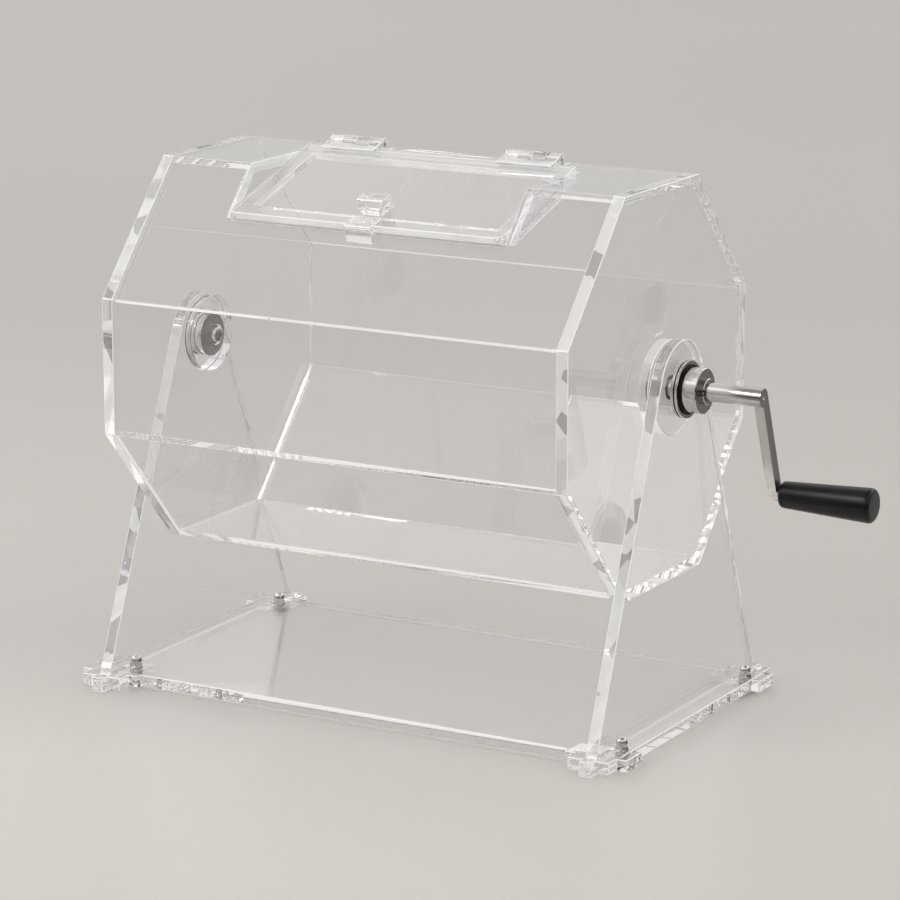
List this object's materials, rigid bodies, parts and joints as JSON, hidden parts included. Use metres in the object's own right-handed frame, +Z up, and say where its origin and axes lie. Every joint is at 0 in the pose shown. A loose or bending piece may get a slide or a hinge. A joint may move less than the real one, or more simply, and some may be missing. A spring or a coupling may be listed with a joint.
{
  "type": "raffle drum",
  "caption": "Clear octagonal raffle drum with a hinged, latched lid over its mouth, turned by a steel crank between two tapered clear side frames on a flat clear base",
  "frame": {"origin": "on the table, midway between the side frames and under the drum's axis", "axes": "+X along the drum's axis towards the crank, +Y towards the back, where the lid's hinges are, +Z up"},
  "size_m": [0.6371, 0.312, 0.451],
  "materials": {
    "clear_acrylic": "clear cast acrylic, polished edges",
    "polished_steel": "polished stainless steel",
    "brushed_steel": "turned and ground stainless steel",
    "black_steel": "black oxide steel",
    "black_rubber": "black rubber",
    "white_nylon": "natural nylon",
    "black_grip": "satin black moulded plastic"
  },
  "bodies": {
    "stand": {"base_plate": "clear_acrylic", "foot_block_front_left": "clear_acrylic", "foot_block_front_right": "clear_acrylic", "foot_block_rear_left": "clear_acrylic", "foot_block_rear_right": "clear_acrylic", "foot_bolts": "polished_steel", "foot_washers": "polished_steel", "foot_dome_nuts": "polished_steel", "side_frame_left": "clear_acrylic", "side_frame_right": "clear_acrylic", "right_bearing": "brushed_steel", "bearing_rim_ring": "black_rubber", "bearing_seal": "black_rubber", "left_pivot_screw": "polished_steel", "left_pivot_insert": "polished_steel", "left_steel_washer": "polished_steel", "left_nylon_washer": "white_nylon"},
    "drum": {"boss_disc_left": "clear_acrylic", "boss_disc_right": "clear_acrylic", "collar_grub_screws": "black_steel", "crank_arm": "brushed_steel", "crank_shaft": "brushed_steel", "end_plate_left": "clear_acrylic", "end_plate_right": "clear_acrylic", "grip_clip": "polished_steel", "hinge_left_drum_leaf": "clear_acrylic", "hinge_left_pin": "polished_steel", "hinge_right_drum_leaf": "clear_acrylic", "hinge_right_pin": "polished_steel", "latch_keeper": "clear_acrylic", "ledge_front": "clear_acrylic", "ledge_left": "clear_acrylic", "ledge_rear": "clear_acrylic", "ledge_right": "clear_acrylic", "left_bush": "polished_steel", "left_inner_washer": "polished_steel", "mouth_cheek_left": "clear_acrylic", "mouth_cheek_right": "clear_acrylic", "panel_bottom": "clear_acrylic", "panel_front": "clear_acrylic", "panel_front_lower": "clear_acrylic", "panel_front_upper": "clear_acrylic", "panel_rear": "clear_acrylic", "panel_rear_lower": "clear_acrylic", "panel_rear_upper": "clear_acrylic", "panel_top": "clear_acrylic", "shaft_circlip": "polished_steel", "shaft_collar": "brushed_steel"},
    "lid": {"lid_panel": "clear_acrylic", "hinge_left_lid_leaf": "clear_acrylic", "hinge_right_lid_leaf": "clear_acrylic", "latch_guide": "clear_acrylic"},
    "latch": {"latch_tongue": "clear_acrylic", "latch_knob": "clear_acrylic"},
    "grip": {"grip": "black_grip"}
  },
  "joints": [
    {"name": "drum_spin", "type": "hinge", "parent": "stand", "child": "drum", "pos_m": [0, 0, 0.278], "axis": [1, 0, 0], "continuous": true},
    {"name": "lid_hinge", "type": "hinge", "parent": "drum", "child": "lid", "pos_m": [0, 0.031, 0.4455], "axis": [-1, 0, 0], "range_deg": [0, 160]},
    {"name": "latch_slide", "type": "slide", "parent": "lid", "child": "latch", "axis": [0, -0.953, -0.3031], "range_m": [0, 0.0055]},
    {"name": "grip_spin", "type": "hinge", "parent": "drum", "child": "grip", "pos_m": [0.3436, 0.03304, 0.19425], "axis": [1, 0, 0], "continuous": true}
  ]
}
